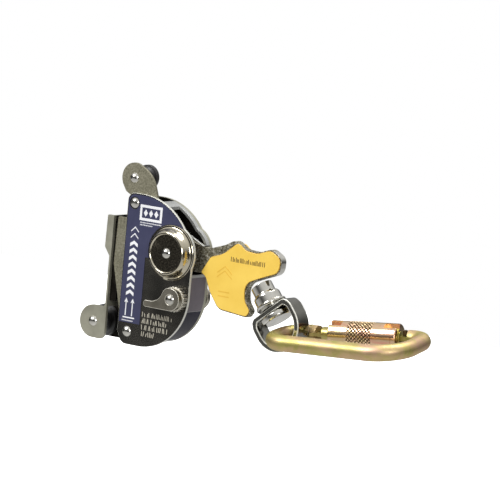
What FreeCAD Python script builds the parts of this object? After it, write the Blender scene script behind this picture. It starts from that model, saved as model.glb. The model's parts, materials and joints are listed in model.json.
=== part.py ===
import FreeCAD, Part
import math
import os
from FreeCAD import Placement, Rotation, Vector

# Detachable cable sleeve for a ladder safety system, with a cam handle, a swivel bail and an
# auto-locking carabiner. Millimetres. The origin is on the axis of the climbed cable, level with
# the main pivot. +Z is up along the cable, +X points from the cable to the handle, and the front
# plate faces -Y.

# ---- fits and clearances ----
layer_gap = 0.3
pin_fit = 0.05

# ---- climbed cable and its guide ----
cable_r = 4.75
cable_play = 0.25
guide_r = cable_r + cable_play
guide_back_wall = 0.5
guide_cheek = 1.2
guide_low = -40.0
guide_high = 18.0
roller_to_cable = 0.2

# ---- main pivot and body outline, with x and z from the main pivot ----
pivot_x = 46.4
body_left = -39.4
body_top = 35.9
body_bottom = -66.6
body_right = 19.3
top_arc_r = 45.0
bottom_arc_r = 38.8
body_corner_r = 5.5
shroud_inset = 2.3
shroud_side_inset = 0.8
shroud_t = 2.0
window_low = -12.9
window_left = -8.0
window_rim = 3.4

# ---- layers along Y from the middle of the sleeve ----
front_plate_t = 2.0
rear_plate_t = 2.5
ear_sheet_t = 2.0
ear_setback = 2.4
gate_t = 2.0
gate_to_guide = 0.5
rear_room = 2.3
casting_half = 2.8
cover_t = 0.8
guide_half = guide_r + guide_cheek
gate_rear = -guide_half - gate_to_guide
gate_front = gate_rear - gate_t
front_inner = gate_front - layer_gap
front_face = front_inner - front_plate_t
rear_inner = guide_half + rear_room
rear_face = rear_inner + rear_plate_t
ear_front = front_face + ear_setback
ear_rear = ear_front + ear_sheet_t

# ---- spine and flap of the housing ----
spine_t = 1.4
spine_inner = -guide_r - guide_back_wall
spine_outer = spine_inner - spine_t
flap_reach = 4.3
flap_low = -11.7
flap_chamfer = 7.8

# ---- guide rollers ----
axle_r = 2.2
axle_head_r = 3.6
axle_head_h = 1.9
upper_root_r = 3.6
upper_rim_r = 8.5
upper_ear_r = 10.3
upper_roller_far = 9.0
upper_roller_rise = 9.6
lower_root_r = 9.8
lower_rim_r = 10.8
lower_roller_gap = 1.4
lower_ear_r = 11.2
lower_roller_lift = 10.7
upper_roller_x = guide_r + roller_to_cable + upper_root_r
upper_roller_z = body_top + upper_roller_rise
lower_roller_x = -guide_r - lower_roller_gap - lower_root_r
lower_roller_z = body_bottom + lower_roller_lift

# ---- plate rivets ----
rivet_r = 3.0
rivet_head_r = 3.7
rivet_head_h = 1.9
waist_r = 4.2
stop_x = pivot_x + body_left + 5.8
stop_z = body_top - 6.7
gate_pivot_x = pivot_x + body_left + 8.0
gate_pivot_z = body_bottom + 8.7
gate_eye_r = 8.3

# ---- main pivot pin and the dome over it ----
pivot_pin_r = 5.0
pivot_neck_r = 3.5
dome_flange_r = 18.6
dome_flange_t = 0.7
dome_foot_r = 17.0
dome_rim_r = 14.2
dome_disc_r = 12.4
dome_h = 6.6
dome_dish = 0.9
dome_wall = 1.4
pivot_head_r = 3.6
pivot_head_h = 1.9

# ---- cam handle and brake shoe, with x and z from the main pivot ----
bush_wall = 1.5
hub_wall = 4.5
hub_r = pivot_pin_r + bush_wall + hub_wall
cam_arm_x = -27.5
cam_arm_z = -2.4
cam_arm_r = 5.2
cam_arm_half = 2.4
shoe_pin_r = 2.5
shoe_gap = 0.35
shoe_half_t = guide_half
shoe_half_h = 13.0
shoe_back = -21.5
spring_wire_r = 0.75
spring_gap = 2.9
spring_leg_thinning = 0.93

# ---- swivel and bail ----
swivel_x = 78.4
swivel_z = -25.5
swivel_drop_deg = 51.2
stud_r = 4.5
barrel_wall = 2.8
barrel_len = 16.0
collar_r = 10.6
collar_t = 2.4
step_r = 9.2
step_t = 7.4
step_round = 3.0
barrel_r = stud_r + barrel_wall
washer_r = 8.0
washer_t = 1.0
bail_t = 3.6
bail_half_width = 6.5
bail_r = 17.8
bail_centre_drop = 13.0
bail_shoulder = 15.5
bail_shoulder_r = 5.0
bail_side_r = 8.0
disc_r = 11.2
disc_t = 5.0
end_play = 0.3

# ---- carabiner, in its own plane: u along it, v across it ----
rod_r = 5.5
ring_left_width = 33.0
ring_left_corner_r = 14.0
ring_right_u = 101.0
ring_right_corner_r = 21.0
ring_nose_u = 95.5
ring_nose_v = 33.0
ring_nose_corner_r = 11.0
carabiner_y = -3.5
carabiner_rest_deg = -74.0
carabiner_rest_gap = 1.5
carabiner_pitch_deg = 4.0
carabiner_roll_deg = 8.0

# ---- carabiner gate and lock sleeve, with s along the gate from its hinge ----
hinge_u = 14.5
nose_u = 84.5
nose_v = 29.0
tang_half = 1.4
clevis_reach = 5.5
gate_rod_r = 4.6
gate_rod_start = 8.2
gate_rod_end = 63.5
blade_end = 72.0
nose_start = 68.6
latch_pin_r = 1.6
latch_pin_at = 66.2
sleeve_start = 14.4
sleeve_end = 62.5
sleeve_play = 0.4
sleeve_wall = 4.3
sleeve_r = gate_rod_r + sleeve_play + sleeve_wall

# ---- lock levers, with x and z from the main pivot ----
lever_x = pivot_x + 8.5
lever_z = -29.8
lever_shaft_r = 3.5
lever_hub_r = 8.7
lever_hub_t = 4.2
lever_top = 8.8
rear_lever_hub_t = 2.8
rear_lever_top = 5.4
lever_play = 0.3
lever_rib_count = 20
lever_rib_r = 0.6
lever_rivet_r = 3.4
lever_rivet_h = 1.7

# ---- inversion pawl ----
pawl_x = pivot_x - 5.0
pawl_z = -44.0
pawl_pin_r = 1.5
pawl_len = 12.0

# ---- labels ----
label_t = 0.25
label_margin = 0.9
label_right = -21.0
label_bottom = -51.8
wall_label_high = -14.8
wall_label_seam = -38.0
wall_label_low = -60.0

wide = 400.0
parts = {}


# ================================================================ helpers
def rounding(before, corner, after, radius):
    """Start, middle and end of the arc that rounds one corner."""
    to_before = (before - corner).normalize()
    to_after = (after - corner).normalize()
    half = to_before.getAngle(to_after) / 2
    along = radius / math.tan(half)
    bisector = (to_before + to_after).normalize()
    middle = corner + bisector * (radius / math.sin(half) - radius)
    return corner + to_before * along, middle, corner + to_after * along


def outline(corners, y=0.0, closed=True):
    """Wire of lines and tangent arcs through (x, z) or (x, z, radius) corners at one depth."""
    points = [Vector(c[0], y, c[1]) for c in corners]
    count = len(points)
    spans = []
    for i, corner in enumerate(corners):
        is_end = not closed and i in (0, count - 1)
        if len(corner) > 2 and not is_end:
            spans.append(rounding(points[i - 1], points[i], points[(i + 1) % count], corner[2]))
        else:
            spans.append((points[i], None, points[i]))
    edges = []
    for i, (start, middle, end) in enumerate(spans):
        if middle is not None:
            edges.append(Part.Arc(start, middle, end).toShape())
        following = spans[(i + 1) % count][0]
        joins_on = closed or i < count - 1
        if joins_on and end.distanceToPoint(following) > 1e-6:
            edges.append(Part.LineSegment(end, following).toShape())
    return Part.Wire(edges)


def plate(corners, y0, y1):
    """Flat plate between two depths, from an outline of corners."""
    return Part.Face(outline(corners, y0)).extrude(Vector(0, y1 - y0, 0))


def from_pivot(corners):
    """Corners that are given from the main pivot, moved to the part's own origin."""
    return [(c[0] + pivot_x, c[1]) + tuple(c[2:]) for c in corners]


def cylinder(x, z, r, y0, y1):
    """Cylinder along Y."""
    return Part.makeCylinder(r, y1 - y0, Vector(x, y0, z), Vector(0, 1, 0))


def tube(x, z, outer_r, inner_r, y0, y1):
    return cylinder(x, z, outer_r, y0, y1).cut(cylinder(x, z, inner_r, y0, y1))


def turned(x, z, profile):
    """Solid turned about an axis along Y, from (radius, y) points."""
    points = [Vector(x + r, y, z) for r, y in profile]
    face = Part.Face(Part.makePolygon(points + points[:1]))
    return face.revolve(Vector(x, 0, z), Vector(0, 1, 0), 360)


def domed_head(x, z, r, h, y, outward):
    """Rivet head on a face at y. outward is -1 to the front or +1 to the rear."""
    ball_r = (r * r + h * h) / (2 * h)
    ball = Part.makeSphere(ball_r, Vector(x, y + outward * (h - ball_r), z))
    low, high = sorted((y, y + outward * h))
    return ball.common(cylinder(x, z, r, low, high))


def box(x0, x1, y0, y1, z0, z1):
    return Part.makeBox(x1 - x0, y1 - y0, z1 - z0, Vector(x0, y0, z0))


def upright(r, z0, z1, x=0.0, y=0.0):
    """Cylinder along Z."""
    return Part.makeCylinder(r, z1 - z0, Vector(x, y, z0), Vector(0, 0, 1))


def coil(x, z, radius, wire_r, y0, turns):
    """Close-wound wire about an axis along Y, as a stack of turns that run into each other."""
    pitch = wire_r * 1.85
    rings = []
    for i in range(turns):
        rings.append(Part.makeTorus(radius, wire_r, Vector(x, y0 + i * pitch, z), Vector(0, 1, 0)))
    return rings[0].fuse(rings[1:]) if turns > 1 else rings[0]


def wire_run(points, wire_r):
    """Straight wires from point to point, with round knees, a little thinner than the turns."""
    leg_r = wire_r * spring_leg_thinning
    pieces = [Part.makeSphere(leg_r, p) for p in points[1:]]
    for start, end in zip(points, points[1:]):
        along = end - start
        pieces.append(Part.makeCylinder(leg_r, along.Length, start, along))
    return pieces[0].fuse(pieces[1:])


def put(name, shape):
    """Keep a finished sub-part under its node name, without the seams of joined faces."""
    parts[name] = shape.removeSplitter()


# ================================================================ body outline
def body_outline(inset):
    """D shape: straight left and bottom edges, with a large arc above and another below."""
    left = body_left + inset
    right = body_right - side_inset(inset)
    top = body_top - inset
    bottom = body_bottom + inset
    return from_pivot(
        [
            (left, top, body_corner_r - inset / 2),
            (right, top, top_arc_r - inset),
            (right - 1.9, -14.0, 20.0),
            (right - 2.1, bottom, bottom_arc_r - inset),
            (left + 4.0, bottom, 6.0),
            (left, bottom + 8.0, 6.0),
        ]
    )


def side_inset(inset):
    """The wall stands closer to the plate's edge at the side than at the top."""
    return inset - min(1.0, inset / shroud_inset) * (shroud_inset - shroud_side_inset)


def body_blank(inset, y0, y1):
    """The D shape with the round bulge that the dome needs at its right edge."""
    bulge = cylinder(pivot_x, 0, body_right - side_inset(inset), y0, y1)
    return plate(body_outline(inset), y0, y1).fuse(bulge).removeSplitter()


def plate_holes(y0, y1):
    """Holes that the front and rear plates share."""
    return [
        cylinder(stop_x, stop_z, rivet_r, y0, y1),
        cylinder(gate_pivot_x, gate_pivot_z, rivet_r, y0, y1),
        cylinder(lever_x, lever_z, lever_shaft_r + pin_fit, y0, y1),
    ]


# ================================================================ housing
def rear_sheet():
    """Rear plate: the D shape, a strip behind the cable, and the lower roller's rear ear."""
    inside = pivot_x + body_left + 12.0
    top = body_top - shroud_inset
    ear_top = lower_roller_z + lower_ear_r
    ear_low = lower_roller_z - lower_ear_r
    strip = plate(
        [
            (spine_outer, guide_high),
            (spine_outer + 3.0, top - 3.0, 5.0),
            (inside, top),
            (inside, ear_low),
            (spine_outer, ear_low),
        ],
        rear_inner,
        rear_face,
    )
    bridge = box(lower_roller_x, spine_inner, rear_inner, rear_face, ear_low, ear_top)
    ear = cylinder(lower_roller_x, lower_roller_z, lower_ear_r, rear_inner, rear_face)
    blank = body_blank(shroud_inset, rear_inner, rear_face)
    return blank.fuse([strip, bridge, ear])


def front_ear():
    """Lower roller's front ear, bent out from the spine, with a fillet under the lip."""
    r = lower_ear_r
    x = lower_roller_x
    z = lower_roller_z
    return plate(
        [
            (x - r, z + r, r - 0.05),
            (spine_outer, z + r, 2.5),
            (spine_outer, z + r + 4.0),
            (spine_inner, z + r + 4.0),
            (spine_inner, z - r, 4.5),
            (x - r, z - r, r - 0.05),
        ],
        ear_front,
        ear_rear,
    )


def flap():
    """Lead-in flap, bent out at the top of the spine."""
    return plate(
        [
            (spine_inner, guide_high),
            (spine_inner, flap_low),
            (spine_outer - flap_reach, flap_low + flap_chamfer, 1.5),
            (spine_outer - flap_reach + 0.4, guide_high, 0.8),
        ],
        ear_front,
        ear_rear,
    )


def roller_window():
    """Opening in the spine where the lower roller reaches the cable."""
    high = lower_roller_z + lower_rim_r + 0.8
    low = lower_roller_z - lower_ear_r - 5.0
    return box(spine_outer - 5, spine_inner + 5, ear_rear, rear_inner, low, high)


def housing():
    spine_low = lower_roller_z
    spine = box(spine_outer, spine_inner, ear_front, rear_inner, spine_low, guide_high)
    spine = spine.cut(roller_window())
    shell = rear_sheet().fuse([spine, front_ear(), flap()]).removeSplitter()
    holes = plate_holes(rear_inner, rear_face)
    holes.append(cylinder(pivot_x, 0, pivot_neck_r, rear_inner, rear_face))
    holes.append(cylinder(pawl_x, pawl_z, pawl_pin_r, rear_inner, rear_face))
    holes.append(cylinder(lower_roller_x, lower_roller_z, axle_r, front_face, rear_face))
    put("housing", shell.cut(holes))


def cable_guide():
    block = box(spine_inner, 0, -guide_half, guide_half, guide_low, guide_high)
    put("cable_guide", block.cut(upright(guide_r, guide_low, guide_high)))


def shroud_band(grow, y0, y1):
    """Curved wall that follows the body outline. grow thickens it outwards."""
    outer = body_blank(shroud_inset - grow, y0, y1)
    return outer.cut(body_blank(shroud_inset + shroud_t, y0, y1))


def shroud():
    """Curved wall round the handle side, with the handle's window in it."""
    upper_start = pivot_x + body_left + 24.0
    lower_start = gate_pivot_x + gate_eye_r + 3.0
    floor_start = box(lower_start, wide, -wide, wide, -wide, window_low)
    roof_start = box(upper_start, wide, -wide, wide, window_low, wide)
    lower = shroud_band(0, front_inner, rear_inner).common(floor_start)
    upper = shroud_band(0, gate_rear + layer_gap, rear_inner).common(roof_start)
    rim_front = rear_inner - window_rim
    window = box(pivot_x + window_left, wide, -wide, rim_front, window_low, wide)
    put("shroud", lower.fuse(upper.cut(window)))


def wall_labels():
    """Two labels wrapped round the wall below the window."""
    skin = shroud_band(label_t, front_inner + 0.4, rear_inner - 0.4)
    skin = skin.cut(body_blank(shroud_inset, -wide, wide))
    start = pivot_x + body_left + 34.0
    for name, low, high in (
        ("upper_wall_label", wall_label_seam + 0.15, wall_label_high),
        ("lower_wall_label", wall_label_low, wall_label_seam - 0.15),
    ):
        put(name, skin.common(box(start, wide, -wide, wide, low, high)))


# ================================================================ front plate and dome
def front_plate():
    holes = plate_holes(front_face, front_inner)
    holes.append(cylinder(pivot_x, 0, dome_disc_r + 0.6, front_face, front_inner))
    put("front_plate", body_blank(0, front_face, front_inner).cut(holes))


def front_label():
    """Label down the plate's left side and over the dome, clear of the stop rivet."""
    back = front_face
    front = front_face - label_t
    sheet = body_blank(label_margin, front, back)
    foot = box(0, wide, front, back, -wide, label_bottom)
    right = box(pivot_x + label_right, wide, front, back, -wide, -6.0)
    ring = cylinder(pivot_x, 0, dome_flange_r + 0.4, front, back)
    rivet = cylinder(stop_x, stop_z, rivet_head_r + 0.6, front, back)
    beyond = box(pivot_x + 10.0, wide, front, back, -wide, 12.0)
    put("front_label", sheet.cut([foot, right, ring, rivet, beyond]))


def pivot_dome():
    """Pressed cap over the handle spring: flange, bright shoulder and a dished middle."""
    top = front_face - dome_h
    flange = front_face - dome_flange_t
    outside = [
        (pivot_neck_r, top + dome_dish),
        (dome_disc_r, top + dome_dish),
        (dome_disc_r + 0.4, top + 0.15),
        (dome_disc_r + 0.7, top),
        (dome_rim_r - 0.4, top),
        (dome_rim_r + 0.2, top + 0.5),
        (dome_rim_r + 0.9, top + 1.8),
        (dome_rim_r + 1.4, top + 3.6),
        (dome_foot_r - 0.6, flange - 0.9),
        (dome_foot_r, flange - 0.2),
        (dome_foot_r + 0.5, flange),
        (dome_flange_r - 0.3, flange),
        (dome_flange_r, flange + 0.3),
        (dome_flange_r, front_face),
    ]
    inside = [
        (dome_disc_r + 0.6, front_face),
        (dome_disc_r + 0.6, top + dome_dish + dome_wall + 0.8),
        (dome_disc_r - 0.2, top + dome_dish + dome_wall),
        (pivot_neck_r, top + dome_dish + dome_wall),
    ]
    put("pivot_dome", turned(pivot_x, 0, outside + inside))


def main_pivot_pin():
    cap = front_face - dome_h + dome_dish
    shank = cylinder(pivot_x, 0, pivot_pin_r, cap + dome_wall, rear_inner)
    neck = cylinder(pivot_x, 0, pivot_neck_r, cap, rear_face)
    front_head = domed_head(pivot_x, 0, pivot_head_r, pivot_head_h, cap, -1)
    rear_head = domed_head(pivot_x, 0, pivot_pin_r, pivot_head_h, rear_face, 1)
    put("main_pivot_pin", shank.fuse([neck, front_head, rear_head]))


def pivot_spacers():
    """Plain rings that hold the handle's hub between the plates."""
    ring_r = pivot_pin_r + spring_gap - layer_gap
    play = casting_half + layer_gap
    front = tube(pivot_x, 0, ring_r, pivot_pin_r, front_inner, -play)
    rear = tube(pivot_x, 0, ring_r, pivot_pin_r, play, rear_inner)
    put("pivot_spacers", Part.makeCompound([front, rear]))


def plate_rivet(name, x, z):
    """Rivet through both plates, with a thicker waist that spaces them apart."""
    shank = cylinder(x, z, rivet_r, front_face, rear_face)
    waist = cylinder(x, z, waist_r, gate_rear + layer_gap, rear_inner)
    front_head = domed_head(x, z, rivet_head_r, rivet_head_h, front_face, -1)
    rear_head = domed_head(x, z, rivet_head_r, rivet_head_h, rear_face, 1)
    put(name, shank.fuse([waist, front_head, rear_head]))


# ================================================================ rollers
def roller(name, x, z, rim_r, root_r, y0, y1):
    """Guide roller with a round groove that follows the cable."""
    blank = turned(
        x,
        z,
        [
            (axle_r + pin_fit, y0),
            (rim_r - 0.6, y0),
            (rim_r, y0 + 0.6),
            (rim_r, y1 - 1.0),
            (rim_r - 1.0, y1),
            (axle_r + pin_fit, y1),
        ],
    )
    groove = Part.makeTorus(root_r + guide_r, guide_r, Vector(x, 0, z), Vector(0, 1, 0))
    put(name, blank.cut(groove))


def axle(name, x, z, y0, y1, rear_head_r):
    shank = cylinder(x, z, axle_r, y0, y1)
    front_head = domed_head(x, z, axle_head_r, axle_head_h, y0, -1)
    rear_head = domed_head(x, z, rear_head_r, axle_head_h, y1, 1)
    put(name, shank.fuse([front_head, rear_head]))


def rollers():
    far = upper_roller_far
    x, z = upper_roller_x, upper_roller_z
    roller("upper_roller", x, z, upper_rim_r, upper_root_r, gate_rear + layer_gap, far)
    axle("upper_axle", x, z, gate_front, far + layer_gap, upper_rim_r - 3.2)
    x, z = lower_roller_x, lower_roller_z
    y0 = ear_rear + layer_gap
    y1 = rear_inner - layer_gap
    roller("lower_roller", x, z, lower_rim_r, lower_root_r, y0, y1)
    axle("lower_axle", x, z, ear_front, rear_face, axle_head_r)


# ================================================================ side gate
def side_gate():
    """Swinging plate that closes the cable slot and carries the upper roller."""
    notch_r = rivet_r + 0.7
    right = pivot_x + body_left + 16.0
    ear_left = upper_roller_x - upper_ear_r
    neck = plate(
        [
            (upper_roller_x, upper_roller_z),
            (upper_roller_x + 4.6, upper_roller_z + 9.2),
            (upper_roller_x + 15.6, upper_roller_z + 3.2, 20.0),
            (stop_x + 17.0, stop_z + 4.6),
            (stop_x + 14.5, stop_z - 9.0, 10.0),
            (right, stop_z - 24.0, 20.0),
            (right, gate_pivot_z + 12.0, 6.0),
            (gate_pivot_x + gate_eye_r, gate_pivot_z + 3.0, 3.0),
            (gate_pivot_x + gate_eye_r, gate_pivot_z - gate_eye_r, gate_eye_r - 0.1),
            (gate_pivot_x - gate_eye_r, gate_pivot_z - gate_eye_r, gate_eye_r - 0.1),
            (gate_pivot_x - gate_eye_r, gate_pivot_z + 8.0, 10.0),
            (spine_inner + 3.0, -14.0, 12.0),
            (spine_inner + 3.8, guide_high, 0.8),
            (stop_x - 4.0, guide_high, 0.5),
            (stop_x - 4.0, stop_z - notch_r),
            (stop_x + notch_r, stop_z - notch_r, notch_r - 0.02),
            (stop_x + notch_r, stop_z + notch_r, notch_r - 0.02),
            (stop_x - 4.0, stop_z + notch_r, 0.8),
            (upper_roller_x - 6.0, stop_z + 6.6, 3.0),
            (ear_left + 1.0, upper_roller_z - 4.6),
        ],
        gate_front,
        gate_rear,
    )
    ear = cylinder(upper_roller_x, upper_roller_z, upper_ear_r, gate_front, gate_rear)
    holes = [
        cylinder(upper_roller_x, upper_roller_z, axle_r, gate_front, gate_rear),
        cylinder(gate_pivot_x, gate_pivot_z, rivet_r + pin_fit, gate_front, gate_rear),
    ]
    put("side_gate", ear.fuse(neck).removeSplitter().cut(holes))


def gate_spring():
    """Torsion spring that swings the side gate shut."""
    wire_r = 0.5
    radius = waist_r + wire_r + 0.35
    start = gate_rear + layer_gap + 0.7
    wound = coil(gate_pivot_x, gate_pivot_z, radius, wire_r, start, 4)
    knee = Vector(gate_pivot_x + radius, start, gate_pivot_z)
    leg = wire_run([knee, knee + Vector(0.5, 0, 15.0)], wire_r)
    put("gate_spring", wound.fuse(leg))


# ================================================================ cam handle
def handle_outline():
    """Grip end of the handle: thumb hump on top, and a hook under the nose."""
    return from_pivot(
        [
            (4.0, hub_r - 0.3),
            (23.8, 5.8, 8.0),
            (38.3, 10.6, 14.0),
            (45.6, 14.9, 5.5),
            (54.8, 9.6, 8.0),
            (64.8, 9.2, 14.0),
            (75.3, 13.0, 6.5),
            (84.4, 8.0, 6.0),
            (83.7, -2.4, 6.5),
            (70.3, -7.6, 12.0),
            (57.4, -13.0, 8.0),
            (58.4, -24.0, 9.0),
            (63.3, -30.5, 3.0),
            (60.3, -35.0, 2.6),
            (36.5, -33.0, 8.5),
            (28.3, -22.3, 9.0),
            (23.6, -10.9, 5.0),
            (4.0, -10.9),
        ]
    )


def cover_outline():
    """Grip cover: it follows the grip, and stops short of the housing's window."""
    return from_pivot(
        [
            (20.4, -10.2, 1.2),
            (27.3, 0.9, 4.0),
            (37.3, 4.4, 16.0),
            (49.0, 13.9, 4.2),
            (55.2, 9.1, 8.0),
            (64.8, 8.3, 14.0),
            (75.1, 12.1, 6.3),
            (83.6, 7.6, 5.6),
            (82.9, -1.8, 6.2),
            (69.8, -6.8, 12.0),
            (56.7, -12.4, 8.0),
            (57.6, -24.0, 9.0),
            (62.5, -30.3, 2.6),
            (59.9, -34.2, 2.3),
            (36.9, -32.3, 8.0),
            (29.1, -22.1, 9.0),
            (24.5, -12.6, 5.0),
        ]
    )


def swivel_placement():
    """Frame of the swivel: its -Z runs down the swivel's axis, and its X runs along the bail."""
    lean = Rotation(Vector(0, 1, 0), swivel_drop_deg - 90.0)
    return Placement(Vector(pivot_x + swivel_x, 0, swivel_z), lean).toMatrix()


def barrel_pocket():
    """Room in the grip for the stepped barrel."""
    steps = [
        upright(step_r, 0, washer_t + collar_t + step_t),
        upright(collar_r, -20.0, washer_t + collar_t),
    ]
    room = upright(barrel_r, 0, washer_t + barrel_len).fuse(steps)
    return room.transformed(swivel_placement())


def handle_casting():
    hub = cylinder(pivot_x, 0, hub_r, -casting_half, casting_half)
    grip = plate(handle_outline(), -casting_half, casting_half)
    reach = cam_arm_x - cam_arm_r
    arm = plate(
        from_pivot(
            [
                (0.0, hub_r - 1.5),
                (cam_arm_x + 4.0, cam_arm_z + cam_arm_r, 6.0),
                (reach, cam_arm_z + cam_arm_r, cam_arm_r - 0.1),
                (reach, cam_arm_z - cam_arm_r, cam_arm_r - 0.1),
                (cam_arm_x + 4.0, cam_arm_z - cam_arm_r, 6.0),
                (0.0, 1.5 - hub_r),
            ]
        ),
        -cam_arm_half,
        cam_arm_half,
    )
    bore_r = pivot_pin_r + bush_wall
    cuts = [
        cylinder(pivot_x, 0, bore_r, -casting_half, casting_half),
        cylinder(pivot_x + cam_arm_x, cam_arm_z, shoe_pin_r, -casting_half, casting_half),
        barrel_pocket(),
    ]
    put("handle_casting", hub.fuse([grip, arm]).removeSplitter().cut(cuts))


def handle_bush():
    outer_r = pivot_pin_r + bush_wall
    bore_r = pivot_pin_r + pin_fit
    put("handle_bush", tube(pivot_x, 0, outer_r, bore_r, -casting_half, casting_half))


def grip_covers():
    outer = casting_half + cover_t
    for name, y0, y1 in (
        ("front_grip_cover", -outer, -casting_half),
        ("rear_grip_cover", casting_half, outer),
    ):
        put(name, plate(cover_outline(), y0, y1).cut(barrel_pocket()))


def brake_shoe():
    """Grooved block that the cam arm presses against the cable."""
    x = pivot_x + cam_arm_x
    z = cam_arm_z
    groove_r = guide_r + shoe_gap
    lip = groove_r - 3.2
    back = pivot_x + shoe_back
    block = plate(
        [
            (lip, z + shoe_half_h, 1.5),
            (back, z + shoe_half_h - 4.0, 4.0),
            (back, z - shoe_half_h + 4.0, 4.0),
            (lip, z - shoe_half_h, 1.5),
        ],
        -shoe_half_t,
        shoe_half_t,
    )
    slot_half = cam_arm_half + layer_gap
    slot_x = x - cam_arm_r - 1.0
    slot = box(slot_x, back + 1.0, -slot_half, slot_half, z - wide, z + wide)
    groove = upright(groove_r, z - wide, z + wide)
    pin_hole = cylinder(x, z, shoe_pin_r + pin_fit, -shoe_half_t, shoe_half_t)
    put("brake_shoe", block.cut([groove, slot, pin_hole]))


def shoe_pin():
    reach = shoe_half_t - 0.2
    put("shoe_pin", cylinder(pivot_x + cam_arm_x, cam_arm_z, shoe_pin_r, -reach, reach))


def handle_spring():
    """Torsion spring under the dome. One leg reaches through the window onto the handle."""
    radius = pivot_pin_r + spring_gap + spring_wire_r
    start = front_face - dome_h + dome_dish + dome_wall + spring_wire_r + 0.15
    wound = coil(pivot_x, 0, radius, spring_wire_r, start, 3)
    layer = front_inner + layer_gap + spring_wire_r + 0.4
    knee = Vector(pivot_x + radius, start, 0)
    turn = Vector(pivot_x + radius, layer, 0)
    bend = Vector(pivot_x + 13.0, layer, 13.0)
    tip = Vector(pivot_x + 24.0, layer, 7.8)
    rest = Vector(pivot_x + 24.0, 1.0 - casting_half, 7.8)
    leg = wire_run([knee, turn, bend, tip, rest], spring_wire_r)
    put("handle_spring", wound.fuse(leg))


# ================================================================ swivel and bail
def swivel_disc(top):
    """Round head inside the bail, coned a little on both sides."""
    profile = [
        (0, top),
        (disc_r - 2.4, top),
        (disc_r - 0.3, top - 1.2),
        (disc_r, top - 1.8),
        (disc_r, top - disc_t + 1.0),
        (disc_r - 1.0, top - disc_t),
        (0, top - disc_t),
    ]
    points = [Vector(r, 0, h) for r, h in profile]
    face = Part.Face(Part.makePolygon(points + points[:1]))
    return face.revolve(Vector(0, 0, 0), Vector(0, 0, 1), 360)


def swivel():
    place = swivel_placement()
    high = washer_t + barrel_len
    blind = high - 2.0
    collar = upright(collar_r, washer_t, washer_t + collar_t)
    collar = collar.makeChamfer(0.6, collar.Edges[:1] + collar.Edges[2:])
    step_top = washer_t + collar_t + step_t
    step = upright(step_r, washer_t, step_top)
    step = step.makeFillet(step_round, [e for e in step.Edges if e.BoundBox.ZMin > step_top - 0.01])
    barrel = upright(barrel_r, washer_t, high).fuse([collar, step])
    barrel = barrel.cut(upright(stud_r, washer_t, blind))
    put("swivel_barrel", barrel.transformed(place))
    washer = upright(washer_r, 0, washer_t).cut(upright(stud_r, 0, washer_t))
    put("swivel_washer", washer.transformed(place))
    disc_top = -bail_t - 2 * end_play
    stud = upright(stud_r, disc_top - disc_t, blind).fuse(swivel_disc(disc_top))
    put("swivel_stud", stud.transformed(place))


def bail_loop(inset):
    """Loop outline: a flat top bar, with a round lower part. Its x runs along the top bar."""
    r = bail_r - inset
    top = -end_play - inset
    centre = -bail_centre_drop
    shoulder = bail_shoulder - inset
    shoulder_r = max(bail_shoulder_r - inset, 1.4)
    return [
        (-shoulder, top, shoulder_r),
        (shoulder, top, shoulder_r),
        (r, centre * 0.5, bail_side_r - inset),
        (r, centre - r, r),
        (-r, centre - r, r),
        (-r, centre * 0.5, bail_side_r - inset),
    ]


def bail():
    outer = plate(bail_loop(0.0), -bail_half_width, bail_half_width)
    inner = plate(bail_loop(bail_t), -bail_half_width, bail_half_width)
    hole = upright(stud_r + pin_fit, -bail_t - 2, 1)
    put("bail", outer.cut([inner, hole]).transformed(swivel_placement()))


# ================================================================ carabiner
def carabiner_placement():
    """Frame of the carabiner: its X is u, its Z is v, and its -Y is the upper side."""
    lean = math.radians(swivel_drop_deg)
    centre_x = pivot_x + swivel_x + bail_centre_drop * math.cos(lean)
    centre_z = swivel_z - bail_centre_drop * math.sin(lean)
    reach = bail_r - bail_t - rod_r - carabiner_rest_gap
    angle = math.radians(carabiner_rest_deg)
    at = Vector(
        centre_x + reach * math.cos(angle), carabiner_y, centre_z + reach * math.sin(angle)
    )
    pitch = Rotation(Vector(0, 1, 0), -carabiner_pitch_deg)
    roll = Rotation(Vector(1, 0, 0), carabiner_roll_deg - 90.0)
    return Placement(at, pitch.multiply(roll)).toMatrix()


def gate_axis():
    """Frame of the carabiner's gate: its origin is the hinge, and its X runs to the nose."""
    hinge_v = ring_left_width / 2
    rise = math.degrees(math.atan2(nose_v - hinge_v, nose_u - hinge_u))
    return Placement(Vector(hinge_u, 0, hinge_v), Rotation(Vector(0, 1, 0), -rise)).toMatrix()


def along_gate(r, s0, s1):
    """Cylinder along the gate."""
    return Part.makeCylinder(r, s1 - s0, Vector(s0, 0, 0), Vector(1, 0, 0))


def ring_rod():
    """Bent rod, from the gate's hinge round to the nose."""
    half = ring_left_width / 2
    rise = (nose_v - half) / (nose_u - hinge_u)
    nose = nose_start / math.hypot(1, rise)
    path = outline(
        [
            (hinge_u + clevis_reach, half),
            (0.0, half, ring_left_corner_r),
            (0.0, -half, ring_left_corner_r),
            (ring_right_u, -half, ring_right_corner_r),
            (ring_nose_u, ring_nose_v, ring_nose_corner_r),
            (hinge_u + nose, half + nose * rise),
        ],
        closed=False,
    )
    start = Vector(hinge_u + clevis_reach, 0, half)
    section = Part.Wire(Part.makeCircle(rod_r, start, Vector(1, 0, 0)))
    return path.makePipeShell([section], True, True)


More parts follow.
